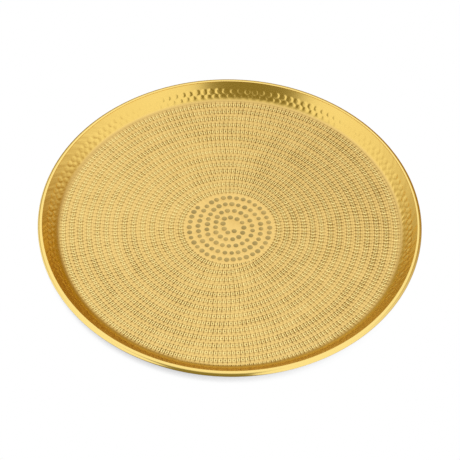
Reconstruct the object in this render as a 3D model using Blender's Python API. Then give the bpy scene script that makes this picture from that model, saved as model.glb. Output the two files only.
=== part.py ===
"""Round serving tray: a hammered sheet-metal dish, its edge rolled over a wire hoop, on four rubber feet.

Units are metres, +Z is up. The origin is on the tray's axis, at the surface that the tray stands on.
"""

import math

import bmesh
import bpy
from mathutils import Vector

# Driving dimensions of the dish
TRAY_RADIUS = 0.2000
SHEET = 0.0009
COVE_RADIUS = 0.0065
STRAIGHT_WALL = 0.0175
WALL_ANGLE = math.radians(44)

# Driving dimensions of the rolled edge and of the wire inside it
WIRE_RADIUS = 0.00155
WIRE_CLEARANCE = 0.0003
WIRE_BUTT_GAP = 0.0006
CURL_SWEEP = math.radians(292)

# Driving dimensions of the two rows of hammer dents, measured up the wall from the edge of the floor
DENTS_PER_ROW = 148
DENT_DEPTH = 0.00035
LOWER_DENTS = 0.0073
DENT_ROW_PITCH = 0.0053

# Driving dimensions of the dots punched in rings about the middle, each ring joined to the next by a jog
DOT_RADIUS = 0.0024
DOT_DEPTH = 0.0003
DOT_GAP = 0.0022
DOT_RING_GAP = 0.0042
FIRST_RING_RADIUS = 0.0060
FIRST_RING_TURN = 0.425
FULL_RINGS = 4
JOG_ANGLE = math.radians(170)
JOG_TURN = 0.2
PLAIN_MARGIN = 0.0026

# Driving dimensions of the feet
FOOT_COUNT = 4
FOOT_INSET = 0.0332
FOOT_RADIUS = 0.0080
FOOT_HEIGHT = 0.0022
FOOT_EDGE = 0.0005
FOOT_DRAFT = math.radians(12)
ADHESIVE_FILM = 0.0003

# Smoothness of the round forms
SEGMENTS = DENTS_PER_ROW
HIDDEN_SEGMENTS = SEGMENTS // 2
COVE_STEPS = 4
CURL_STEPS = 12
WIRE_SIDES = 8
DOT_SIDES = 8
DOT_PATH_STEPS = 1000
FOOT_SEGMENTS = 20

# Sizes that follow from the driving ones
BEAD_RADIUS = WIRE_RADIUS + WIRE_CLEARANCE + SHEET
BEAD_CIRCLE_RADIUS = TRAY_RADIUS - BEAD_RADIUS
WALL_TOP_RADIUS = BEAD_CIRCLE_RADIUS - BEAD_RADIUS * math.sin(WALL_ANGLE)
WALL_WIDTH = COVE_RADIUS * math.sin(WALL_ANGLE) + STRAIGHT_WALL * math.cos(WALL_ANGLE)
FLOOR_RADIUS = WALL_TOP_RADIUS - WALL_WIDTH
UNDERSIDE = FOOT_HEIGHT + ADHESIVE_FILM
FLOOR_TOP = UNDERSIDE + SHEET
WALL_RISE = COVE_RADIUS * (1 - math.cos(WALL_ANGLE)) + STRAIGHT_WALL * math.sin(WALL_ANGLE)
BEAD_CENTRE_HEIGHT = FLOOR_TOP + WALL_RISE - BEAD_RADIUS * math.cos(WALL_ANGLE)
DOT_SPACING = 2 * DOT_RADIUS + DOT_GAP
DOT_RING_PITCH = 2 * DOT_RADIUS + DOT_RING_GAP
DISC_RADIUS = FIRST_RING_RADIUS + FULL_RINGS * DOT_RING_PITCH + DOT_RADIUS + PLAIN_MARGIN
FOOT_CIRCLE_RADIUS = FLOOR_RADIUS - FOOT_INSET


def clear_scene():
    for old in list(bpy.data.objects):
        bpy.data.objects.remove(old, do_unlink=True)


def metal(name, colour, roughness):
    return principled(name, colour, roughness, metallic=1.0)


def principled(name, colour, roughness, metallic):
    material = bpy.data.materials.new(name)
    material.use_nodes = True
    shader = material.node_tree.nodes["Principled BSDF"]
    shader.inputs["Base Color"].default_value = (*colour, 1.0)
    shader.inputs["Roughness"].default_value = roughness
    shader.inputs["Metallic"].default_value = metallic
    return material


def add_part(name, bm, material, sharp_angle=math.radians(40)):
    """Turns a finished bmesh into a named, smooth-shaded object."""
    bmesh.ops.recalc_face_normals(bm, faces=bm.faces)
    mesh = bpy.data.meshes.new(name)
    bm.to_mesh(mesh)
    bm.free()
    mesh.shade_smooth()
    mesh.set_sharp_from_angle(angle=sharp_angle)
    mesh.materials.append(material)
    part = bpy.data.objects.new(name, mesh)
    bpy.context.scene.collection.objects.link(part)
    return part


def arc(centre, radius, start, sweep, steps):
    """Points (radius, height) along a circle in the profile plane, both ends included."""
    return [
        (
            centre[0] + radius * math.cos(start + sweep * i / steps),
            centre[1] + radius * math.sin(start + sweep * i / steps),
        )
        for i in range(steps + 1)
    ]


def around(centre, radius, turn):
    """A point on a level circle, at a share of a whole turn."""
    angle = 2 * math.pi * turn
    return centre + Vector((radius * math.cos(angle), radius * math.sin(angle), 0))


def ring(bm, points):
    """A closed loop of vertices about the axis that goes through several profile points in turn."""
    loop = []
    for i, (radius, height) in enumerate(points):
        loop.append(bm.verts.new(around(Vector((0, 0, height)), radius, i / len(points))))
    return loop


def skin(bm, inner, outer):
    """Faces between two neighbouring rings of the same count, or of which one has twice as many vertices."""
    if len(inner) > len(outer):
        inner, outer = outer, inner
    few, many = len(inner), len(outer)
    for i in range(few):
        after = (i + 1) % few
        if few == many:
            bm.faces.new((inner[i], outer[i], outer[after], inner[after]))
            continue
        start, middle, end = outer[2 * i], outer[2 * i + 1], outer[2 * after]
        bm.faces.new((inner[i], start, middle))
        bm.faces.new((inner[i], middle, inner[after]))
        bm.faces.new((inner[after], middle, end))


def wall_point(climb, depth=0.0):
    """Point (radius, height) a distance up the wall's inside, and a depth into the sheet."""
    lean = min(climb / COVE_RADIUS, WALL_ANGLE)
    straight = climb - COVE_RADIUS * lean
    reach = COVE_RADIUS + depth
    radius = FLOOR_RADIUS + reach * math.sin(lean) + straight * math.cos(lean)
    height = FLOOR_TOP + COVE_RADIUS - reach * math.cos(lean) + straight * math.sin(lean)
    return radius, height


def hammered_wall(bm):
    """Rings up the inside of the wall: plain at foot and top, two staggered rows of dents between."""
    upper_dents = LOWER_DENTS + DENT_ROW_PITCH
    foot = [0, LOWER_DENTS - DENT_ROW_PITCH, LOWER_DENTS - DENT_ROW_PITCH / 2]
    top = [upper_dents + DENT_ROW_PITCH / 2, upper_dents + DENT_ROW_PITCH]
    lower_row = [wall_point(LOWER_DENTS), wall_point(LOWER_DENTS, DENT_DEPTH)]
    upper_row = [wall_point(upper_dents, DENT_DEPTH), wall_point(upper_dents)]
    rings = [ring(bm, [wall_point(climb)] * SEGMENTS) for climb in foot]
    rings += [ring(bm, row * SEGMENTS) for row in (lower_row, upper_row)]
    rings += [ring(bm, [wall_point(climb)] * SEGMENTS) for climb in top]
    return rings


def rolled_edge(bm):
    """Rings round the outside of the curl, from the top of the wall, and back along its inside."""
    centre = (BEAD_CIRCLE_RADIUS, BEAD_CENTRE_HEIGHT)
    start = WALL_ANGLE + math.pi / 2
    bead = arc(centre, BEAD_RADIUS, start, -CURL_SWEEP, CURL_STEPS)
    lining = arc(centre, BEAD_RADIUS - SHEET, start - CURL_SWEEP, CURL_SWEEP, CURL_STEPS)
    rings = [ring(bm, [point] * SEGMENTS) for point in bead]
    rings += [ring(bm, [point] * HIDDEN_SEGMENTS) for point in lining]
    return rings


def dot_centres():
    """Places of the punched dots, walked along the rings from the middle outwards."""
    centres = []
    for count in range(int((FULL_RINGS + FIRST_RING_TURN) * DOT_PATH_STEPS)):
        turn = count / DOT_PATH_STEPS - FIRST_RING_TURN
        jog = min((turn - math.floor(turn)) / JOG_TURN, 1)
        eased = jog * jog * (3 - 2 * jog)
        radius = FIRST_RING_RADIUS + DOT_RING_PITCH * (math.floor(turn) + eased)
        spot = around(Vector((0, 0, FLOOR_TOP)), radius, JOG_ANGLE / (2 * math.pi) - turn)
        if not centres or (spot - centres[-1]).length >= DOT_SPACING:
            centres.append(spot)
    return centres


def punched_floor(bm, floor_edge):
    """The floor inside the wall: a plain land, and a middle disc with the dots punched into it."""
    disc_edge = ring(bm, [(DISC_RADIUS, FLOOR_TOP)] * SEGMENTS)
    skin(bm, disc_edge, floor_edge)
    outlines = [bm.edges.get(pair) for pair in zip(disc_edge, disc_edge[1:] + disc_edge[:1])]
    for spot in dot_centres():
        bottom = bm.verts.new(spot - Vector((0, 0, DOT_DEPTH)))
        lip = [bm.verts.new(around(spot, DOT_RADIUS, i / DOT_SIDES)) for i in range(DOT_SIDES)]
        for pair in zip(lip, lip[1:] + lip[:1]):
            bm.faces.new((bottom, *pair))
            outlines.append(bm.edges.get(pair))
    bmesh.ops.triangle_fill(bm, use_beauty=True, use_dissolve=False, edges=outlines, normal=(0, 0, 1))


def build_dish(material):
    """One sheet of brass: punched floor, hammered wall, and the edge curled outwards over the wire."""
    bm = bmesh.new()
    wall = hammered_wall(bm)
    back_climbs = [COVE_RADIUS * WALL_ANGLE * i / COVE_STEPS for i in range(COVE_STEPS, -1, -1)]
    back = [ring(bm, [wall_point(climb, SHEET)] * HIDDEN_SEGMENTS) for climb in back_climbs]
    rings = wall + rolled_edge(bm) + back
    for inner, outer in zip(rings, rings[1:]):
        skin(bm, inner, outer)
    bm.faces.new(back[-1])
    punched_floor(bm, wall[0])
    return add_part("tray_dish", bm, material)


def build_rim_wire(material):
    """The hoop inside the rolled edge: a straight wire bent round, with its two ends butted."""
    bm = bmesh.new()
    section = bmesh.ops.create_circle(bm, cap_ends=True, segments=WIRE_SIDES, radius=WIRE_RADIUS)
    butt_angle = WIRE_BUTT_GAP / BEAD_CIRCLE_RADIUS
    for vert in section["verts"]:
        across, along = vert.co.x, vert.co.y
        vert.co = Vector((BEAD_CIRCLE_RADIUS + across, 0, BEAD_CENTRE_HEIGHT + along))
    bmesh.ops.spin(
        bm,
        geom=bm.faces[:],
        cent=(0, 0, 0),
        axis=(0, 0, 1),
        angle=2 * math.pi - butt_angle,
        steps=HIDDEN_SEGMENTS,
    )
    return add_part("rim_wire", bm, material)


def foot_profile():
    """Half section of a foot, from the axis at its stuck face to the axis at its tread."""
    drawn_in = (FOOT_HEIGHT - FOOT_EDGE) * math.tan(FOOT_DRAFT)
    tread_radius = FOOT_RADIUS - drawn_in
    edge_centre = (tread_radius - FOOT_EDGE, FOOT_EDGE)
    edge_steps = 3
    edge = arc(edge_centre, FOOT_EDGE, 0, -math.pi / 2, edge_steps)
    return [(0, FOOT_HEIGHT), (FOOT_RADIUS, FOOT_HEIGHT), *edge, (0, 0)]


def build_foot(name, angle, material):
    """A self-adhesive rubber foot: a low disc with drafted sides and a rounded tread edge."""
    bm = bmesh.new()
    line = [bm.verts.new((radius, 0, height)) for radius, height in foot_profile()]
    edges = [bm.edges.new(pair) for pair in zip(line, line[1:])]
    bmesh.ops.spin(
        bm,
        geom=line + edges,
        cent=(0, 0, 0),
        axis=(0, 0, 1),
        angle=2 * math.pi,
        steps=FOOT_SEGMENTS,
    )
    bmesh.ops.remove_doubles(bm, verts=bm.verts, dist=1e-6)
    foot = add_part(name, bm, material)
    foot.location = (FOOT_CIRCLE_RADIUS * math.cos(angle), FOOT_CIRCLE_RADIUS * math.sin(angle), 0)
    return foot


def main():
    clear_scene()
    brass = metal("hammered_brass", (0.80, 0.56, 0.20), 0.30)
    steel = metal("wire_steel", (0.45, 0.45, 0.46), 0.40)
    rubber = principled("foot_rubber", (0.05, 0.05, 0.05), 0.85, metallic=0.0)
    tray = bpy.data.objects.new("tray", None)
    bpy.context.scene.collection.objects.link(tray)
    parts = [build_dish(brass), build_rim_wire(steel)]
    for number in range(FOOT_COUNT):
        angle = 2 * math.pi * (number + 0.5) / FOOT_COUNT
        parts.append(build_foot(f"rubber_foot_{number + 1}", angle, rubber))
    for part in parts:
        part.parent = tray


main()
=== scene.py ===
"""Round serving tray of hammered brass: the studio, the chased dish, its rim wire and its rubber feet."""

import math

import bmesh
import bpy
from mathutils import Matrix, Vector


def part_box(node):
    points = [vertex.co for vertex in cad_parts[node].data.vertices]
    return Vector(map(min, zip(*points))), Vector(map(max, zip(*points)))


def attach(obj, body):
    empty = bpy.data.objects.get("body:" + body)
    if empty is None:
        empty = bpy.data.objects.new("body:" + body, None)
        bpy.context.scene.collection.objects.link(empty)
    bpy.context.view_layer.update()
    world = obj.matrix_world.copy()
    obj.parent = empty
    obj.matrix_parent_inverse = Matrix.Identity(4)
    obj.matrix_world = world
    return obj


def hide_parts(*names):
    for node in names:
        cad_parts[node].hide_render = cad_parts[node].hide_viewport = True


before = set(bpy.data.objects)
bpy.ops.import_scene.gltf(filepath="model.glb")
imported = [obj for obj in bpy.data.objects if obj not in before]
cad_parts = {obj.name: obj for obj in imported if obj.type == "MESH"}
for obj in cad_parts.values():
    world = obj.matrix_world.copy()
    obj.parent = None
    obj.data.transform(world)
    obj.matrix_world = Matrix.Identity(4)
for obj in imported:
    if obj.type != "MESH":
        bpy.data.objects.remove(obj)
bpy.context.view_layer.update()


# Camera: a long lens in front of the table, well above it, aimed at the middle of the tray's floor.
# The picture is a little off level, so the camera is rolled by the same small angle.
AIM = Vector((0, 0, 0.0034))
CAMERA_RISE = math.radians(50.58)
CAMERA_DISTANCE = 2.607
CAMERA_ROLL = math.radians(1.316)
LENS_MM = 195.05
SENSOR_MM = 36
FRAME_SHIFT = (0.0007, -0.0037)

camera_data = bpy.data.cameras.new("camera")
camera_data.lens = LENS_MM
camera_data.sensor_width = SENSOR_MM
camera_data.shift_x, camera_data.shift_y = FRAME_SHIFT
camera = bpy.data.objects.new("camera", camera_data)
camera_back = Vector((0, -math.cos(CAMERA_RISE), math.sin(CAMERA_RISE)))
tilt = Matrix.Rotation(math.pi / 2 - CAMERA_RISE, 4, "X") @ Matrix.Rotation(CAMERA_ROLL, 4, "Z")
camera.matrix_world = Matrix.Translation(AIM + camera_back * CAMERA_DISTANCE) @ tilt
bpy.context.scene.collection.objects.link(camera)
bpy.context.scene.camera = camera
bpy.context.scene.view_settings.view_transform = "Standard"


# Studio: a white table in a bright tent, with a soft shadow on the table in front of the tray only.
# The camera looks in through an opening on the near side, and a warm dark screen stands at the back.
# Polished metal shows both as darker patches.
TABLE_HALF_WIDTH = 0.6
TABLE_WHITE = (0.90, 0.90, 0.90, 1)
SHADOW_GREY = (0.30, 0.30, 0.31, 1)
SHADOW_REACH = 0.014
SHADOW_SAMPLES = 8
SHADOW_SOFTNESS = (0.1, 0.85)
SHADOW_FADE = (-0.06, 0.0)
LIGHT_SIDE = (0.58, 0.42, 0.70)
TENT_WHITE = (1.0, 1.0, 1.0, 1)
TENT_STRENGTH = 1.08
OPENING_SHADE = (0.25, 0.215, 0.08, 1)
OPENING_LEFT = (math.radians(-34), math.radians(-25))
OPENING_RIGHT = (math.radians(10), math.radians(15))
OPENING_TOP = (math.radians(48), math.radians(102))
BACK_TOP = (math.radians(34), math.radians(46))
BACK_FOOT = (math.radians(-8), 0.0)
BACK_FOOTLESS = (-0.55, -0.25)
BACK_SLANT = 0.4
BACK_SLANT_ENDS = (math.radians(-10), math.radians(20))
BACK_LEFT_SHADE = (0.34, 0.24, 0.04, 1)
BACK_MIDDLE_SHADE = (0.52, 0.40, 0.14, 1)
BACK_RIGHT_SHADE = (0.35, 0.205, 0.008, 1)
BACK_LEFT = (math.radians(-108), math.radians(-15))
BACK_RIGHT = (math.radians(30), math.radians(117))
BACK_LEFT_BLEND = (-0.6, -0.2)
BACK_RIGHT_BLEND = (0.05, 0.4)


class Value:
    """What one socket of a node tree gives, so that a rule of shape or finish reads as a formula."""

    def __init__(self, socket):
        self.socket = socket
        self.tree = socket.id_data

    def math(self, operation, *others):
        return put(self.tree, "ShaderNodeMath", self, *others, operation=operation)

    def part(self, name):
        """Another output of the same node."""
        return Value(self.socket.node.outputs[name])

    def __add__(self, other):
        return self.math("ADD", other)

    def __sub__(self, other):
        return self.math("SUBTRACT", other)

    def __mul__(self, other):
        return self.math("MULTIPLY", other)

    def __truediv__(self, other):
        return self.math("DIVIDE", other)

    def __neg__(self):
        return self.math("MULTIPLY", -1)


def plug(socket, value):
    """Links a socket to another one's value, or sets it to a plain value."""
    if isinstance(value, Value):
        socket.id_data.links.new(value.socket, socket)
    else:
        socket.default_value = value


def put(tree, kind, *values, named=None, **settings):
    """Adds a node, plugs its inputs in order or by name, and gives its first output."""
    node = tree.nodes.new(kind)
    for name, setting in settings.items():
        setattr(node, name, setting)
    sockets = [socket for socket in node.inputs if socket.enabled]
    for socket, value in zip(sockets, values):
        plug(socket, value)
    for name, value in (named or {}).items():
        plug(next(socket for socket in sockets if socket.name == name), value)
    return Value(next(socket for socket in node.outputs if socket.enabled)) if node.outputs else node


def step(value, start, end, low=0.0, high=1.0):
    """Eases from low to high as a value goes from start to end."""
    ends = (start, end, low, high)
    return put(value.tree, "ShaderNodeMapRange", value, *ends, interpolation_type="SMOOTHSTEP")


def mixed(amount, first, second):
    """A colour between two others."""
    blend = {"Factor": amount, "A": first, "B": second}
    return put(amount.tree, "ShaderNodeMix", data_type="RGBA", named=blend)


def light_tent():
    """Even white light, with the opening and the dark screen seen only in reflections."""
    world = bpy.data.worlds.new("light_tent")
    world.use_nodes = True
    tree = world.node_tree
    tree.nodes.clear()
    axes = put(tree, "ShaderNodeSeparateXYZ", put(tree, "ShaderNodeTexCoord"))
    beside = axes.part("X").math("ARCSINE")
    over = axes.part("Z").math("ARCTAN2", -axes.part("Y"))
    opening = step(beside, *OPENING_LEFT) * step(beside, *OPENING_RIGHT, 1, 0)
    opening = opening * step(over, *OPENING_TOP, 1, 0)
    round_back = axes.part("X").math("ARCTAN2", axes.part("Y"))
    rise = axes.part("Z").math("ARCSINE")
    slant_start, slant_end = BACK_SLANT_ENDS
    slant = round_back.math("MAXIMUM", slant_start).math("MINIMUM", slant_end) * BACK_SLANT
    foot = step(rise, *BACK_FOOT).math("MAXIMUM", step(round_back, *BACK_FOOTLESS))
    below = step(rise - slant, *BACK_TOP, 1, 0) * foot
    back = step(round_back, *BACK_LEFT) * step(round_back, *BACK_RIGHT, 1, 0) * below
    shade = mixed(step(round_back, *BACK_RIGHT_BLEND), BACK_MIDDLE_SHADE, BACK_RIGHT_SHADE)
    shade = mixed(step(round_back, *BACK_LEFT_BLEND), BACK_LEFT_SHADE, shade)
    tent = mixed(opening, mixed(back, TENT_WHITE, shade), OPENING_SHADE)
    mirrored = put(tree, "ShaderNodeLightPath").part("Is Glossy Ray")
    light = put(tree, "ShaderNodeBackground", mixed(mirrored, TENT_WHITE, tent), TENT_STRENGTH)
    put(tree, "ShaderNodeOutputWorld", light)
    return world


def table_white():
    """A pure white top with the tray's shadow on it, unseen in reflections and from below."""
    material = bpy.data.materials.new("table_white")
    material.use_nodes = True
    tree = material.node_tree
    tree.nodes.clear()
    path = put(tree, "ShaderNodeLightPath")
    seen = path.part("Is Camera Ray").math("MAXIMUM", path.part("Is Transmission Ray"))
    lit_from = put(tree, "ShaderNodeCombineXYZ", *LIGHT_SIDE)
    sky = {"Distance": SHADOW_REACH, "Normal": lit_from}
    open_sky = put(tree, "ShaderNodeAmbientOcclusion", samples=SHADOW_SAMPLES, named=sky).part("AO")
    depth = put(tree, "ShaderNodeSeparateXYZ", put(tree, "ShaderNodeTexCoord").part("Object")).part("Y")
    lit = step(open_sky, *SHADOW_SOFTNESS).math("MAXIMUM", step(depth, *SHADOW_FADE))
    backdrop = put(tree, "ShaderNodeEmission", mixed(lit, SHADOW_GREY, (1, 1, 1, 1)), 1.0)
    top = put(tree, "ShaderNodeMixShader", seen, put(tree, "ShaderNodeBsdfDiffuse", TABLE_WHITE), backdrop)
    from_below = put(tree, "ShaderNodeNewGeometry").part("Backfacing")
    unseen = path.part("Is Glossy Ray").math("MAXIMUM", from_below)
    clear = put(tree, "ShaderNodeBsdfTransparent")
    put(tree, "ShaderNodeOutputMaterial", put(tree, "ShaderNodeMixShader", unseen, top, clear))
    return material


bpy.context.scene.world = light_tent()
table_mesh = bpy.data.meshes.new("table")
half = TABLE_HALF_WIDTH
corners = [(-half, -half, 0), (half, -half, 0), (half, half, 0), (-half, half, 0)]
table_mesh.from_pydata(corners, [], [(0, 1, 2, 3)])
table_mesh.materials.append(table_white())
table = bpy.data.objects.new("table", table_mesh)
bpy.context.scene.collection.objects.link(table)


# Dish: one sheet of brass spun to a coved wall, its edge curled outwards over the rim wire and polished.
# The floor is chased by hand along one spiral: a row of punched dots in the middle, then a ribbon of
# chisel strokes out to the wall, and two rows of hammer dents run round the wall.
dish_low, dish_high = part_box("tray_dish")
TRAY_RADIUS = dish_high.x
UNDERSIDE = dish_low.z
SHEET = 0.0009
FLOOR_TOP = UNDERSIDE + SHEET
FLOOR_RADIUS = 0.1765
CHASED_RADIUS = 0.1796
WALL_ANGLE = math.radians(44)
BEAD_RADIUS = 0.00275
BEAD_CENTRE = (TRAY_RADIUS - BEAD_RADIUS, dish_high.z - BEAD_RADIUS)
CURL_SWEEP = math.radians(292)
WALL_WIDTH = BEAD_CENTRE[0] - BEAD_RADIUS * math.sin(WALL_ANGLE) - FLOOR_RADIUS
WALL_RISE = BEAD_CENTRE[1] + BEAD_RADIUS * math.cos(WALL_ANGLE) - FLOOR_TOP
STRAIGHT_WALL = WALL_RISE / math.tan(WALL_ANGLE / 2) - WALL_WIDTH
COVE_RADIUS = (WALL_WIDTH - STRAIGHT_WALL * math.cos(WALL_ANGLE)) / math.sin(WALL_ANGLE)
COVE_CENTRE = (FLOOR_RADIUS, FLOOR_TOP + COVE_RADIUS)

DENTS_PER_ROW = 148
DENT_COLUMNS = 8 * DENTS_PER_ROW
SMOOTH_COLUMNS = DENT_COLUMNS // 2
COVE_STEPS = 4
DENTED_STEPS = 15
DENTED_WALL = 0.0106
BEAD_FLATNESS = 7.0
BEAD_TOP_END = math.radians(-22)
BEAD_TOP_STEPS = 14
BEAD_LOWER_STEPS = 5
CURL_STEPS = 8
UNDERSIDE_RINGS = (0.1500, 0.0800)
DISH_CREASE = math.radians(24)
WELD_GAP = 1e-5

RIBBON_START_RADIUS = 0.0514
RIBBON_PITCH = 0.00943
RIBBON_RINGS = 13
RIBBON_TAPER = 0.215
RIBBON_JOG_TURN = 0.25
RIBBON_START_ANGLE = math.radians(240)
MARK_PITCH = 0.0046
MARK_DEEP_END = 0.0025
MARK_LANES = 4
MARK_STRAY = 0.07
MARK_SLIP = 0.0001
MARK_BLOW = (0.7, 1.1)
MARKS_PER_SPELL = 9
SPELL_BLOW = (0.75, 1.05)
STROKE_WAIST = 0.75
EDGE_LINE_DEPTH = 0.12
LAND_MARGIN = 0.0003
RIBBON_TURNS = RIBBON_RINGS + 1 - RIBBON_JOG_TURN + RIBBON_TAPER
RIBBON_LEAD = math.tau * RIBBON_TAPER * (RIBBON_START_RADIUS - RIBBON_PITCH * RIBBON_TAPER / 2)
RIBBON_LENGTH = math.tau * RIBBON_TURNS * (RIBBON_START_RADIUS + RIBBON_PITCH * RIBBON_TURNS / 2)
CHASING = {
    "Floor Radius": FLOOR_RADIUS,
    "Chased Radius": CHASED_RADIUS,
    "Floor Height": FLOOR_TOP,
    "Edge Columns": DENT_COLUMNS,
    "Ribbon Start Radius": RIBBON_START_RADIUS,
    "Ribbon Pitch": RIBBON_PITCH,
    "Ribbon Lead": RIBBON_LEAD,
    "Ribbon Start Angle": RIBBON_START_ANGLE,
    "Ribbon Jog Turn": RIBBON_JOG_TURN,
    "Ribbon Rings": float(RIBBON_RINGS),
    "Ribbon Wander": 0.0025,
    "Wander Angle": math.radians(205),
    "Mark Count": int((RIBBON_LEAD + RIBBON_LENGTH) / MARK_PITCH),
    "Mark Pitch": MARK_PITCH,
    "Mark Inner End": 0.0040,
    "Mark Outer End": 0.0050,
    "Mark Deep End": MARK_DEEP_END,
    "Mark Depth": 0.00022,
    "Mark Half Width": 0.13,
    "Dot Radius": 0.0033,
    "Dot Depth": 0.00016,
    "Dot Spacing": 0.0071,
    "First Ring Radius": 0.0060,
    "First Ring Turn": 0.425,
    "Dot Ring Pitch": 0.0090,
    "Dot Turns": 4.08,
    "Dot Edge Radius": 0.0436,
    "Jog Angle": math.radians(170),
    "Jog Turn": 0.2,
    "Cove Radius": COVE_RADIUS,
    "Dents Per Row": DENTS_PER_ROW,
    "Wall Angle": WALL_ANGLE,
    "Upper Dents": 0.0141,
    "Lower Dents": 0.0088,
    "Dent Depth": 0.00034,
    "Seed": 7,
}

# Hand work on the dots and dents: how far each one strays, how wide it is and how hard its blow
DOT_SIDES = 12
DOT_PATH_STEPS = 1000
DOT_STRAY = 0.0003
DOT_SCALE = (0.80, 0.98)
DOT_WELD_GAP = 1e-6
UPPER_DENT_RADIUS = 0.0034
LOWER_DENT_RADIUS = 0.0029
LOWER_DENT_SHARE = 0.85
DENT_STRAY = 0.06
DENT_SLIP = 0.0005
DENT_SPREAD = (0.92, 1.08)
DENT_BLOW = (0.75, 1.15)
DENT_FLAT = 0.65
CLIMB_OUTWARD = 0.8
LEAST_OUTWARD = 0.0001

# Stain of the ribbon: two distances in millimetres from a part of a mark, and how dark it is at each
MM = 1000
STROKE_ACROSS = (0.15, 0.65, 0.75, 0)
STROKE_ALONG = (2.5, 3.3, 1, 0.68)
STROKE_END = (0.30, 0.95, 1, 0)
EDGE_LINE = (0.10, 0.55, 0.44, 0)
RIDGE_MIDDLE = 4.6
RIDGE_LINE = (0.10, 0.70, 0.20, 0)
SMALL_MARK = (0.40, 0.90, 1, 0)
SMALL_STROKE_ACROSS = (0.15, 0.60, 0.45, 0)
SMALL_STROKE_ALONG = (2.4, 3.0, 1, 0)
# Painted highlight: a paler ring round each small mark. Its radius in millimetres, the distances from it
# where it is full and where it ends, and the share of the paler colour that goes to the ring; the rest lies
# evenly over the ribbon
HALO_RADIUS = 1.35
HALO = (0.10, 0.55, 1, 0)
HALO_SHARE = 0.92

# Unevenness of the stain: two levels of a noise, and the share of the stain at each
PATCHES = (0.35, 0.65, 0.80, 1.05)
STREAKS = (0.3, 0.7, 0.82, 1.12)

FLOOR_BRASS = ((0.875, 0.607, 0.199, 1), (0.926, 0.662, 0.241, 1))
WALL_BRASS = ((0.833, 0.574, 0.144, 1), (0.907, 0.648, 0.181, 1))
BEAD_BRASS = (0.926, 0.704, 0.232, 1)
# Colour of the painted highlights on the ribbon
PAINTED_HIGHLIGHT_BRASS = (1.0, 0.855, 0.355, 1)
DOT_STAIN = (0.232, 0.194, 0.079, 1)
DOT_WEAR = (0.30, 0.70, 0.48, 0.70)
MARK_STAIN = (0.194, 0.097, 0.011, 1)
# Painted shade in the crease where the floor turns up into the wall: its colour, its share, and where it
# starts and ends from the axis
WALL_FOOT_PAINTED_SHADE = (0.30, 0.17, 0.028, 1)
WALL_FOOT_SHARE = 0.28
WALL_FOOT_START = (0.1768, 0.1780)
WALL_FOOT_END = (0.1792, 0.1817)
WALL_START = (FLOOR_TOP + 0.0003, FLOOR_TOP + 0.0020)
POLISH_START = (BEAD_CENTRE[0] - 0.0019, BEAD_CENTRE[0] - 0.0015)
GRAIN_DEPTH = 0.00004
RIPPLE_DEPTH = 0.0005
RIPPLES_ROUND = 35
RIPPLES_UP = 60
RIPPLE_SLANT = 300
RIPPLED_SIDES = (0.5, 0.9)


def arc(centre, radius, start, sweep, steps):
    """Points (radius, height) along a circle of the dish's section, both ends included."""
    turns = [start + sweep * i / steps for i in range(steps + 1)]
    return [(centre[0] + radius * math.cos(turn), centre[1] + radius * math.sin(turn)) for turn in turns]


def join_rings(inner, outer):
    """Faces between two rings of vertices: equal in count, one twice the other, or one a single point."""
    if len(inner) > len(outer):
        inner, outer = outer, inner
    few, many = len(inner), len(outer)
    if few == 1:
        return [(inner[0], outer[i], outer[(i + 1) % many]) for i in range(many)]
    if few == many:
        return [(inner[i], outer[i], outer[(i + 1) % many], inner[(i + 1) % many]) for i in range(many)]
    faces = []
    for i in range(few):
        start, middle, end = outer[2 * i], outer[2 * i + 1], outer[(2 * i + 2) % many]
        after = inner[(i + 1) % few]
        faces += [(inner[i], start, middle), (inner[i], middle, after), (after, middle, end)]
    return faces


def wall_section(cove_radius, lean):
    """Points (radius, height) up one side of the sheet: the cove from a lean on, then the dented wall."""
    points = arc(COVE_CENTRE, cove_radius, lean - math.pi / 2, WALL_ANGLE - lean, COVE_STEPS)
    radius, height = points[-1]
    for i in range(1, DENTED_STEPS + 1):
        along = DENTED_WALL * i / DENTED_STEPS
        points.append((radius + along * math.cos(WALL_ANGLE), height + along * math.sin(WALL_ANGLE)))
    return points


def rolled_bead(start):
    """Points (radius, height) round the outside of the curl: flat next to the wall, round beyond."""
    under = BEAD_TOP_END
    turns = [start + (under - start) * i / BEAD_TOP_STEPS for i in range(BEAD_TOP_STEPS)]
    below = start - CURL_SWEEP - under
    turns += [under + below * i / BEAD_LOWER_STEPS for i in range(BEAD_LOWER_STEPS + 1)]
    points = []
    for turn in turns:
        across, up = math.cos(turn), math.sin(turn)
        reach = BEAD_RADIUS
        if math.pi / 2 < turn < start:
            reach /= (abs(across) ** BEAD_FLATNESS + up ** BEAD_FLATNESS) ** (1 / BEAD_FLATNESS)
        points.append((BEAD_CENTRE[0] + reach * across, BEAD_CENTRE[1] + reach * up))
    return points


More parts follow.
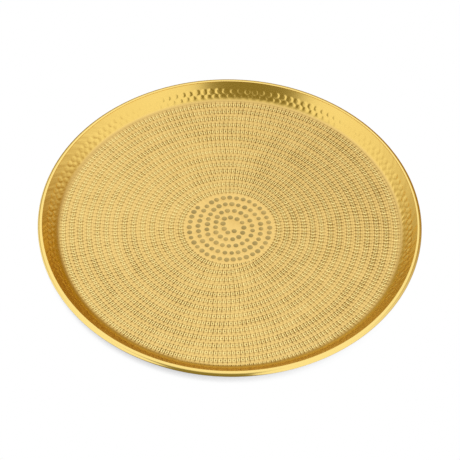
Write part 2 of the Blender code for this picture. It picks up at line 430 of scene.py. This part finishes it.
def dish_blank():
    """The spun dish before it is hammered, open where the chased floor goes in."""
    curl_start = WALL_ANGLE + math.pi / 2
    inside = wall_section(COVE_RADIUS, math.asin((CHASED_RADIUS - FLOOR_RADIUS) / COVE_RADIUS))
    bead = rolled_bead(curl_start)
    lining = arc(BEAD_CENTRE, BEAD_RADIUS - SHEET, curl_start - CURL_SWEEP, CURL_SWEEP, CURL_STEPS)
    outside = wall_section(COVE_RADIUS + SHEET, 0)[::-2]
    rings = [(*point, DENT_COLUMNS) for point in inside]
    rings += [(*point, SMOOTH_COLUMNS) for point in bead + lining]
    rings += [(*point, SMOOTH_COLUMNS) for point in outside]
    rings += [(radius, UNDERSIDE, SMOOTH_COLUMNS) for radius in UNDERSIDE_RINGS]
    rings.append((0, UNDERSIDE, 1))
    verts, loops = [], []
    for radius, height, columns in rings:
        loops.append(range(len(verts), len(verts) + columns))
        turns = [math.tau * i / columns for i in range(columns)]
        verts += [(radius * math.cos(turn), radius * math.sin(turn), height) for turn in turns]
    faces = [face for inner, outer in zip(loops, loops[1:]) for face in join_rings(inner, outer)]
    mesh = bpy.data.meshes.new("chased_dish")
    mesh.from_pydata(verts, [], faces)
    return mesh


def pick(index, choices):
    """One of several values by its number."""
    node = index.tree.nodes.new("GeometryNodeIndexSwitch")
    node.data_type = "FLOAT"
    while len(node.index_switch_items) < len(choices):
        node.index_switch_items.new()
    for socket, value in zip(node.inputs, [index, *choices]):
        plug(socket, value)
    return Value(node.outputs[0])


def chance(low, high, key, seed):
    """A random value that stays the same for one key."""
    return put(key.tree, "FunctionNodeRandomValue", low, high, key, seed)


def polar(radius, angle, height):
    """A point about the tray's axis."""
    beside = radius * angle.math("COSINE")
    beyond = radius * angle.math("SINE")
    return put(radius.tree, "ShaderNodeCombineXYZ", beside, beyond, height)


def grid_place(tree, columns, rows):
    """A flat grid of vertices, with each one's column and row number."""
    grid = put(tree, "GeometryNodeMeshGrid", 1.0, 1.0, columns, rows)
    axes = put(tree, "ShaderNodeSeparateXYZ", put(tree, "GeometryNodeInputPosition"))
    column = ((axes.part("X") + 0.5) * (columns - 1)).math("ROUND")
    row = ((axes.part("Y") + 0.5) * (rows - 1)).math("ROUND")
    return grid, column, row


def with_patina(geometry, amount):
    """Keeps how much dark polish residue a place holds, for the metal's finish."""
    return put(
        geometry.tree,
        "GeometryNodeStoreNamedAttribute",
        named={"Geometry": geometry, "Name": "patina", "Value": amount},
    )


def chased_ribbon(tree, size):
    """The ribbon of chisel marks: strokes across it, deepest near both ends, and a line along each edge."""
    pitch = size("Ribbon Pitch")
    start = size("Ribbon Start Radius")
    seed = size("Seed")
    grid, column, row = grid_place(tree, size("Mark Count") * MARK_LANES + 1, 5)
    mark = ((column + 1) / MARK_LANES).math("FLOOR")
    lane = column + 1 - mark * MARK_LANES
    half = size("Mark Half Width")
    across = pick(lane, [-half, 0.0, half, 0.5])
    stray = chance(-MARK_STRAY, MARK_STRAY, mark, seed)
    along = (mark + across + stray) * size("Mark Pitch") - size("Ribbon Lead")
    turns = ((start * start + pitch * along / math.pi).math("SQRT") - start) / pitch
    angle = size("Ribbon Start Angle") - turns * math.tau
    ring = turns.math("FLOOR")
    jog = step(turns - ring, -size("Ribbon Jog Turn") + 1, 1.0)
    reach = (ring + jog).math("MINIMUM", size("Ribbon Rings")).math("MAXIMUM", 0)
    before = turns.math("LESS_THAN", 0)
    after = turns.math("GREATER_THAN", size("Ribbon Rings"))
    inner = size("Mark Inner End")
    outer = size("Mark Outer End")
    deep = size("Mark Deep End")
    thinned = (before * (-jog + 1) + after * jog) * pitch / (inner + outer)
    sway = (angle - size("Wander Angle")).math("COSINE") * size("Ribbon Wander") * 4
    share = reach / size("Ribbon Rings")
    wander = sway * share * (-share + 1)
    next_share = (reach + 1) / size("Ribbon Rings")
    spread = sway * next_share * (-next_share + 1) - wander
    offset = pick(row, [-inner, -deep, 0.0, deep, outer])
    reached = offset + pick(row, [0.0, 0.0, 0.0, 0.0, spread])
    band = reached * (-thinned + 1) + (after * outer - before * inner) * thinned
    slip = chance(-MARK_SLIP, MARK_SLIP, mark, seed + 6)
    radius = start + pitch * reach + wander + band + slip
    radius = radius.math("MINIMUM", size("Chased Radius") - LAND_MARGIN)
    line = pick(row, [0.0, EDGE_LINE_DEPTH, 0.0, EDGE_LINE_DEPTH, 0.0])
    stroke = pick(row, [0.0, 1.0, STROKE_WAIST, 1.0, 0.0])
    shape = pick(lane, [line, stroke, line, line])
    last = size("Mark Count") * MARK_LANES
    inside = column.math("GREATER_THAN", 0.5) * (last - column).math("GREATER_THAN", 0.5)
    spell = (mark / MARKS_PER_SPELL).math("FLOOR")
    blow = chance(*MARK_BLOW, mark, seed + 1) * chance(*SPELL_BLOW, spell, seed + 5)
    depth = shape * blow * inside
    height = size("Floor Height") - depth * size("Mark Depth")
    cell = put(tree, "ShaderNodeCombineXYZ", mark + across, offset * MM, 1.0)
    marked = put(
        tree,
        "GeometryNodeStoreNamedAttribute",
        data_type="FLOAT_VECTOR",
        domain="CORNER",
        named={"Geometry": grid, "Name": "chase", "Value": cell},
    )
    place = polar(radius, angle, height)
    return put(tree, "GeometryNodeSetPosition", named={"Geometry": marked, "Position": place})


def punched_dots(tree, size):
    """Round punch marks along a spiral, from near the middle to the edge of the plain disc."""
    seed = size("Seed")
    columns = put(tree, "ShaderNodeMath", DOT_SIDES + 1.0, 0.0)
    grid, column, row = grid_place(tree, columns, 4)
    radius = pick(row, [0.0, 0.50, 0.85, 1.0]) * size("Dot Radius")
    depth = pick(row, [1.0, 0.85, 0.35, 0.0])
    dot = put(
        tree,
        "GeometryNodeSetPosition",
        named={
            "Geometry": with_patina(grid, pick(row, [1.0, 1.0, 0.9, 0.0])),
            "Position": polar(radius, column * (math.tau / DOT_SIDES), -depth * size("Dot Depth")),
        },
    )
    dot = put(tree, "GeometryNodeMergeByDistance", named={"Geometry": dot, "Distance": DOT_WELD_GAP})
    line = put(tree, "GeometryNodeCurvePrimitiveLine", (0, 0, 0), (1, 0, 0))
    path = put(tree, "GeometryNodeResampleCurve", named={"Curve": line, "Count": DOT_PATH_STEPS})
    before = size("First Ring Turn")
    turns = put(tree, "GeometryNodeSplineParameter") * (size("Dot Turns") + before) - before
    ring = turns.math("FLOOR")
    jogged = ring + step(turns - ring, 0.0, size("Jog Turn"))
    radius = jogged * size("Dot Ring Pitch") + size("First Ring Radius")
    radius = radius.math("MINIMUM", size("Dot Edge Radius"))
    place = polar(radius, size("Jog Angle") - turns * math.tau, size("Floor Height"))
    path = put(tree, "GeometryNodeSetPosition", named={"Geometry": path, "Position": place})
    spaced = {"Curve": path, "Length": size("Dot Spacing")}
    spots = put(tree, "GeometryNodeCurveToPoints", mode="LENGTH", named=spaced)
    number = put(tree, "GeometryNodeInputIndex")
    slip = [chance(-DOT_STRAY, DOT_STRAY, number, seed + stray) for stray in (2, 3)]
    strayed = put(tree, "ShaderNodeCombineXYZ", *slip, 0.0)
    centres = put(tree, "GeometryNodeSetPosition", named={"Geometry": spots, "Offset": strayed})
    scale = chance(*DOT_SCALE, number, seed + 4)
    placed = {"Points": centres, "Instance": dot, "Scale": scale}
    dots = put(tree, "GeometryNodeInstanceOnPoints", named=placed)
    return put(tree, "GeometryNodeRealizeInstances", dots)


def plain_land(tree, size, marks):
    """The flat floor left between the marks, out to the foot of the wall."""
    neighbours = put(tree, "GeometryNodeInputMeshEdgeNeighbors")
    open_edge = put(tree, "FunctionNodeCompare", neighbours, 1, data_type="INT", operation="EQUAL")
    outlines = put(tree, "GeometryNodeMeshToCurve", marks, open_edge)
    rim = put(tree, "GeometryNodeCurvePrimitiveCircle", size("Edge Columns"), size("Chased Radius"))
    bounds = put(tree, "GeometryNodeJoinGeometry", outlines)
    tree.links.new(rim.socket, bounds.socket.node.inputs[0])
    land = put(tree, "GeometryNodeFillCurve", bounds, mode="TRIANGLES")
    lift = put(tree, "ShaderNodeCombineXYZ", 0.0, 0.0, size("Floor Height"))
    position = put(tree, "GeometryNodeInputPosition")
    flat = put(tree, "ShaderNodeVectorMath", position, (1, 1, 0), operation="MULTIPLY")
    level = put(tree, "ShaderNodeVectorMath", flat, lift, operation="ADD")
    return put(tree, "GeometryNodeSetPosition", named={"Geometry": land, "Position": level})


def turned_up(tree, size, floor):
    """The floor with its edge raised into the foot of the cove."""
    axes = put(tree, "ShaderNodeSeparateXYZ", put(tree, "GeometryNodeInputPosition"))
    reach = (axes.part("X") * axes.part("X") + axes.part("Y") * axes.part("Y")).math("SQRT")
    outward = (reach - size("Floor Radius")).math("MAXIMUM", 0)
    cove = size("Cove Radius")
    rise = cove - (cove * cove - outward * outward).math("SQRT")
    lift = put(tree, "ShaderNodeCombineXYZ", 0.0, 0.0, rise)
    return put(tree, "GeometryNodeSetPosition", named={"Geometry": floor, "Offset": lift})


def dent_row(size, angle, climb, row_climb, stagger, dent_radius, seed):
    """How deep one row of hammer dents is at a place on the wall."""
    count = size("Dents Per Row")
    place = angle / math.tau * count + stagger
    number = (place + 0.5).math("FLOOR").math("FLOORED_MODULO", count)
    pitch = (size("Floor Radius") + row_climb * CLIMB_OUTWARD) * math.tau / count
    stray = chance(-DENT_STRAY, DENT_STRAY, number, seed)
    beside = (place - (place + 0.5).math("FLOOR") - stray) * pitch
    above = climb - row_climb - chance(-DENT_SLIP, DENT_SLIP, number, seed + 1)
    spread = chance(*DENT_SPREAD, number, seed + 2) * dent_radius
    hollow = -(beside * beside + above * above) / (spread * spread) + 1
    return step(hollow, 0.0, DENT_FLAT) * chance(*DENT_BLOW, number, seed + 3)


def hammered_wall(tree, size, blank):
    """The dish's wall, beaten outwards from the inside in two staggered rows of dents."""
    position = put(tree, "GeometryNodeInputPosition")
    axes = put(tree, "ShaderNodeSeparateXYZ", position)
    angle = axes.part("Y").math("ARCTAN2", axes.part("X"))
    reach = (axes.part("X") * axes.part("X") + axes.part("Y") * axes.part("Y")).math("SQRT")
    outward = reach - size("Floor Radius")
    below = size("Floor Height") + size("Cove Radius") - axes.part("Z")
    lean = outward.math("ARCTAN2", below).math("MINIMUM", size("Wall Angle"))
    straight = outward * lean.math("COSINE") - below * lean.math("SINE")
    climb = lean * size("Cove Radius") + straight
    seed = size("Seed")
    upper = dent_row(size, angle, climb, size("Upper Dents"), 0.0, UPPER_DENT_RADIUS, seed + 10)
    lower = dent_row(size, angle, climb, size("Lower Dents"), 0.5, LOWER_DENT_RADIUS, seed + 20)
    on_wall = outward.math("GREATER_THAN", LEAST_OUTWARD)
    depth = (upper + lower * LOWER_DENT_SHARE) * size("Dent Depth") * on_wall
    push = depth * lean.math("SINE")
    offset = polar(push, angle, -depth * lean.math("COSINE"))
    return put(tree, "GeometryNodeSetPosition", named={"Geometry": blank, "Offset": offset})


def chasing_tree(sizes):
    """The node tree that hammers the wall of a blank and sets the chased floor into it."""
    tree = bpy.data.node_groups.new("hammer_and_chase", "GeometryNodeTree")
    kinds = {float: "NodeSocketFloat", int: "NodeSocketInt"}
    tree.interface.new_socket("Blank", in_out="INPUT", socket_type="NodeSocketGeometry")
    for name, value in sizes.items():
        tree.interface.new_socket(name, in_out="INPUT", socket_type=kinds[type(value)])
    tree.interface.new_socket("Finish", in_out="INPUT", socket_type="NodeSocketMaterial")
    tree.interface.new_socket("Dish", in_out="OUTPUT", socket_type="NodeSocketGeometry")
    inlet = tree.nodes.new("NodeGroupInput")

    def size(name):
        return Value(inlet.outputs[name])

    ribbon = chased_ribbon(tree, size)
    dots = punched_dots(tree, size)
    marks = put(tree, "GeometryNodeJoinGeometry", ribbon)
    tree.links.new(dots.socket, marks.socket.node.inputs[0])
    floor = put(tree, "GeometryNodeJoinGeometry", marks)
    tree.links.new(plain_land(tree, size, marks).socket, floor.socket.node.inputs[0])
    whole = put(tree, "GeometryNodeJoinGeometry", turned_up(tree, size, floor))
    tree.links.new(hammered_wall(tree, size, size("Blank")).socket, whole.socket.node.inputs[0])
    welded = put(tree, "GeometryNodeMergeByDistance", named={"Geometry": whole, "Distance": WELD_GAP})
    plain = put(tree, "GeometryNodeRealizeInstances", welded)
    finished = put(tree, "GeometryNodeSetMaterial", named={"Geometry": plain, "Material": size("Finish")})
    put(tree, "NodeGroupOutput", finished)
    return tree


def chased_stain(tree, place):
    """Where the ribbon is dark with residue, more so along the diagonals by painted shade, and where it
    carries a painted highlight, by the spot in a mark's cell.
    """
    chase = put(tree, "ShaderNodeAttribute", attribute_name="chase").part("Vector")
    cell = put(tree, "ShaderNodeSeparateXYZ", chase)
    number = (cell + 0.5).math("FLOOR")
    beside = (cell - number).math("ABSOLUTE") * (MARK_PITCH * MM)
    aside = cell.part("Y").math("ABSOLUTE")
    edge = (aside - MARK_DEEP_END * MM).math("ABSOLUTE")
    corner = (beside * beside + edge * edge).math("SQRT")
    inward = beside - MARK_PITCH * MM / 2
    middle = (inward * inward + aside * aside).math("SQRT")
    blow = put(tree, "ShaderNodeTexWhiteNoise", noise_dimensions="1D", named={"W": number})
    marks = step(beside, *STROKE_ACROSS) * step(aside, *STROKE_ALONG)
    ridge = (cell.part("Y") - RIDGE_MIDDLE).math("ABSOLUTE")
    small_stroke = step(inward.math("ABSOLUTE"), *SMALL_STROKE_ACROSS) * step(aside, *SMALL_STROKE_ALONG)
    marks = marks.math("MAXIMUM", step(corner, *STROKE_END))
    marks = marks.math("MAXIMUM", step(edge, *EDGE_LINE))
    marks = marks.math("MAXIMUM", step(ridge, *RIDGE_LINE))
    marks = marks.math("MAXIMUM", step(middle, *SMALL_MARK))
    marks = marks.math("MAXIMUM", small_stroke)
    patch = put(tree, "ShaderNodeTexNoise", named={"Vector": place, "Scale": 45.0, "Detail": 2.0})
    along = {"W": number, "Scale": 0.02, "Detail": 1.0}
    streak = put(tree, "ShaderNodeTexNoise", noise_dimensions="1D", named=along)
    direction = put(tree, "ShaderNodeVectorMath", place, operation="NORMALIZE")
    axes = put(tree, "ShaderNodeSeparateXYZ", direction)
    # Painted shade: the marks are darker along the diagonals, most at the far right and the near left,
    # standing in for the shading that the chased relief shows at those angles
    slanting = axes.part("X") * axes.part("Y")
    turned = slanting * slanting * 0.8 + slanting * 0.44 + axes.part("X") * 0.18 + 1.02
    evenness = step(patch, *PATCHES) * step(streak, *STREAKS)
    force = (blow * 0.45 + 0.80) * evenness * turned * cell.part("Z")
    halo = step((middle - HALO_RADIUS).math("ABSOLUTE"), *HALO)
    return marks * force, (halo * HALO_SHARE + (1 - HALO_SHARE)) * cell.part("Z")


def brass():
    """Satin brass, clean on the land and darker where the marks have kept the polish residue. Painted
    highlights ring the marks, painted shade darkens the marks along the diagonals, and painted shade lies
    at the foot of the wall.
    """
    material = bpy.data.materials.new("hammered_brass")
    material.use_nodes = True
    tree = material.node_tree
    tree.nodes.clear()
    place = put(tree, "ShaderNodeTexCoord").part("Object")
    patina = put(tree, "ShaderNodeAttribute", attribute_name="patina").part("Fac")
    cloud = put(tree, "ShaderNodeTexNoise", named={"Vector": place, "Scale": 18.0, "Detail": 4.0})
    speck = put(tree, "ShaderNodeTexNoise", named={"Vector": place, "Scale": 900.0, "Detail": 2.0})
    axes = put(tree, "ShaderNodeSeparateXYZ", place)
    reach = (axes.part("X") * axes.part("X") + axes.part("Y") * axes.part("Y")).math("SQRT")
    walled = step(axes.part("Z"), *WALL_START)
    polished = step(reach, *POLISH_START)
    unpolished = mixed(walled, mixed(cloud, *FLOOR_BRASS), mixed(cloud, *WALL_BRASS))
    clean = mixed(polished, unpolished, BEAD_BRASS)
    dark, bright = chased_stain(tree, place)
    # Painted highlight: the ribbon is lightened towards a paler brass, most in a ring round each small mark
    with_painted_highlight = mixed(bright, clean, PAINTED_HIGHLIGHT_BRASS)
    wear = put(tree, "ShaderNodeTexNoise", named={"Vector": place, "Scale": 110.0, "Detail": 1.0})
    punched = step(patina, 0.0, 1.0) * step(wear, *DOT_WEAR)
    colour = mixed(dark, mixed(punched, with_painted_highlight, DOT_STAIN), MARK_STAIN)
    # Painted shade: the crease at the foot of the wall is darkened towards a dark brass
    wall_foot_shade = step(reach, *WALL_FOOT_START) * step(reach, *WALL_FOOT_END, 1, 0)
    colour = mixed(wall_foot_shade * WALL_FOOT_SHARE, colour, WALL_FOOT_PAINTED_SHADE)
    rough = speck * 0.04 + (dark + punched) * 0.10 - walled * 0.10 - polished * 0.06 + 0.285
    grained = {"Strength": walled * -0.1 + 0.12, "Distance": GRAIN_DEPTH, "Height": speck}
    grain = put(tree, "ShaderNodeBump", named=grained)
    turn = axes.part("X").math("ARCTAN2", axes.part("Y"))
    round_wall = turn * RIPPLES_ROUND + reach * RIPPLE_SLANT
    unrolled = put(tree, "ShaderNodeCombineXYZ", round_wall, reach * RIPPLES_UP, 0)
    ripple = put(tree, "ShaderNodeTexNoise", named={"Vector": unrolled, "Scale": 1.0, "Detail": 0.5})
    rippled = walled * (-polished + 1) * step(axes.part("X").math("ABSOLUTE") / reach, *RIPPLED_SIDES)
    beaten = {"Strength": rippled, "Distance": RIPPLE_DEPTH, "Height": ripple, "Normal": grain}
    shader = put(
        tree,
        "ShaderNodeBsdfPrincipled",
        named={
            "Base Color": colour,
            "Metallic": 1.0,
            "Roughness": rough,
            "Normal": put(tree, "ShaderNodeBump", named=beaten),
        },
    )
    put(tree, "ShaderNodeOutputMaterial", shader)
    return material


def plain_mesh(piece):
    """Turns a piece with its node tree into a plain mesh and removes the tree."""
    settled = piece.evaluated_get(bpy.context.evaluated_depsgraph_get())
    mesh = bpy.data.meshes.new_from_object(settled)
    piece.modifiers.clear()
    piece.data = mesh
    return mesh


dish = bpy.data.objects.new("chased_dish", dish_blank())
bpy.context.scene.collection.objects.link(dish)
chasing = dish.modifiers.new("hammer_and_chase", "NODES")
chasing.node_group = chasing_tree(CHASING)
for item in chasing.node_group.interface.items_tree:
    if item.name in CHASING:
        chasing[item.identifier] = CHASING[item.name]
    elif item.name == "Finish":
        chasing[item.identifier] = brass()
dish_mesh = plain_mesh(dish)
outward = bmesh.new()
outward.from_mesh(dish_mesh)
bmesh.ops.recalc_face_normals(outward, faces=outward.faces)
outward.to_mesh(dish_mesh)
outward.free()
dish_mesh.shade_smooth()
dish_mesh.set_sharp_from_angle(angle=DISH_CREASE)
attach(dish, "root")
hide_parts("tray_dish")


# Rim wire: a hoop of drawn steel wire that stiffens the edge, bent round with its two ends butted.
# The curl of the dish grips it, and a little of it shows from outside through the gap under the curl.
WIRE_RADIUS = 0.00155
WIRE_SIDES = 10
WIRE_BUTT_GAP = 0.0006
WIRE_CREASE = math.radians(40)
STEEL = ((0.36, 0.36, 0.37, 1), (0.54, 0.54, 0.55, 1))
STREAKS_ACROSS = 4000
STREAKS_ROUND = 12


def wire_hoop():
    """Vertices and faces of the wire, swept round from one butted end to the other."""
    sweep = math.tau - WIRE_BUTT_GAP / BEAD_CENTRE[0]
    section = arc(BEAD_CENTRE, WIRE_RADIUS, 0, math.tau, WIRE_SIDES)[:-1]
    verts, faces = [], []
    for i in range(SMOOTH_COLUMNS + 1):
        turn = sweep * i / SMOOTH_COLUMNS
        verts += [(radius * math.cos(turn), radius * math.sin(turn), height) for radius, height in section]
    for first in range(0, SMOOTH_COLUMNS * WIRE_SIDES, WIRE_SIDES):
        here = range(first, first + WIRE_SIDES)
        beyond = range(first + WIRE_SIDES, first + 2 * WIRE_SIDES)
        faces += join_rings(here, beyond)
    faces += [tuple(range(WIRE_SIDES)), tuple(range(len(verts) - WIRE_SIDES, len(verts)))]
    return verts, faces


def drawn_steel():
    """Bare wire, dull grey with fine streaks along its length from the drawing die."""
    material = bpy.data.materials.new("wire_steel")
    material.use_nodes = True
    tree = material.node_tree
    tree.nodes.clear()
    axes = put(tree, "ShaderNodeSeparateXYZ", put(tree, "ShaderNodeTexCoord").part("Object"))
    reach = (axes.part("X") * axes.part("X") + axes.part("Y") * axes.part("Y")).math("SQRT")
    round_hoop = axes.part("Y").math("ARCTAN2", axes.part("X"))
    across = reach * STREAKS_ACROSS
    up = axes.part("Z") * STREAKS_ACROSS
    drawn = put(tree, "ShaderNodeCombineXYZ", across, up, round_hoop * STREAKS_ROUND)
    streak = put(tree, "ShaderNodeTexNoise", named={"Vector": drawn, "Scale": 1.0, "Detail": 3.0})
    shader = put(
        tree,
        "ShaderNodeBsdfPrincipled",
        named={
            "Base Color": mixed(streak, *STEEL),
            "Metallic": 1.0,
            "Roughness": streak * 0.2 + 0.28,
        },
    )
    put(tree, "ShaderNodeOutputMaterial", shader)
    return material


def solid_piece(name, verts, faces, material, crease):
    """A smooth-shaded object from plain vertices and faces, with its faces turned outwards."""
    mesh = bpy.data.meshes.new(name)
    mesh.from_pydata(verts, [], faces)
    solid = bmesh.new()
    solid.from_mesh(mesh)
    bmesh.ops.recalc_face_normals(solid, faces=solid.faces)
    solid.to_mesh(mesh)
    solid.free()
    mesh.shade_smooth()
    mesh.set_sharp_from_angle(angle=crease)
    mesh.materials.append(material)
    piece = bpy.data.objects.new(name, mesh)
    bpy.context.scene.collection.objects.link(piece)
    return piece


wire = solid_piece("drawn_wire", *wire_hoop(), drawn_steel(), WIRE_CREASE)
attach(wire, "root")
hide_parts("rim_wire")


# Feet: four low pads of black rubber, moulded with drafted sides and a rounded tread edge.
# A thin adhesive disc, a little smaller than the pad, holds each one to the underside of the dish.
FOOT_SEGMENTS = 48
FOOT_EDGE = 0.0005
FOOT_DRAFT = math.radians(12)
FOOT_TOP_EDGE = 0.00015
FOOT_TOP_STEPS = 3
FOOT_EDGE_STEPS = 5
FOOT_CREASE = math.radians(40)
ADHESIVE_INSET = 0.0004
ADHESIVE_GAP = 0.00002
RUBBER = ((0.030, 0.030, 0.032, 1), (0.060, 0.058, 0.055, 1))
RUBBER_GRAIN = 0.00003


def foot_section(radius, height):
    """Points (radius, height) from the axis at the stuck face to the axis at the tread."""
    tread = radius - (height - FOOT_EDGE) * math.tan(FOOT_DRAFT)
    stuck = UNDERSIDE - ADHESIVE_GAP
    adhesive = [(0, stuck), (radius - ADHESIVE_INSET, stuck), (radius - ADHESIVE_INSET, height)]
    quarter = math.pi / 2
    shoulder_centre = (radius - FOOT_TOP_EDGE, height - FOOT_TOP_EDGE)
    shoulder = arc(shoulder_centre, FOOT_TOP_EDGE, quarter, -quarter, FOOT_TOP_STEPS)
    edge = arc((tread - FOOT_EDGE, FOOT_EDGE), FOOT_EDGE, 0, -quarter, FOOT_EDGE_STEPS)
    return adhesive + shoulder + edge + [(0, 0)]


def lathed_foot(node):
    """One pad turned about its own axis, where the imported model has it."""
    low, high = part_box(node)
    middle = (low + high) / 2
    verts, faces, loops = [], [], []
    for radius, height in foot_section((high.x - low.x) / 2, high.z):
        columns = FOOT_SEGMENTS if radius else 1
        loops.append(range(len(verts), len(verts) + columns))
        turns = [math.tau * i / columns for i in range(columns)]
        verts += [(middle.x + radius * math.cos(t), middle.y + radius * math.sin(t), height) for t in turns]
    for inner, outer in zip(loops, loops[1:]):
        faces += join_rings(inner, outer)
    return verts, faces


def black_rubber():
    """Matt moulded rubber with a fine grain and a little dust."""
    material = bpy.data.materials.new("foot_rubber")
    material.use_nodes = True
    tree = material.node_tree
    tree.nodes.clear()
    place = put(tree, "ShaderNodeTexCoord").part("Object")
    dust = put(tree, "ShaderNodeTexNoise", named={"Vector": place, "Scale": 300.0, "Detail": 5.0})
    grain = put(tree, "ShaderNodeTexNoise", named={"Vector": place, "Scale": 4000.0, "Detail": 1.0})
    grained = {"Strength": 0.2, "Distance": RUBBER_GRAIN, "Height": grain}
    shader = put(
        tree,
        "ShaderNodeBsdfPrincipled",
        named={
            "Base Color": mixed(dust, *RUBBER),
            "Roughness": dust * 0.15 + 0.72,
            "Normal": put(tree, "ShaderNodeBump", named=grained),
        },
    )
    put(tree, "ShaderNodeOutputMaterial", shader)
    return material


foot_finish = black_rubber()
for number in range(1, 5):
    foot_node = f"rubber_foot_{number}"
    foot = solid_piece(f"rubber_pad_{number}", *lathed_foot(foot_node), foot_finish, FOOT_CREASE)
    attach(foot, "root")
    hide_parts(foot_node)
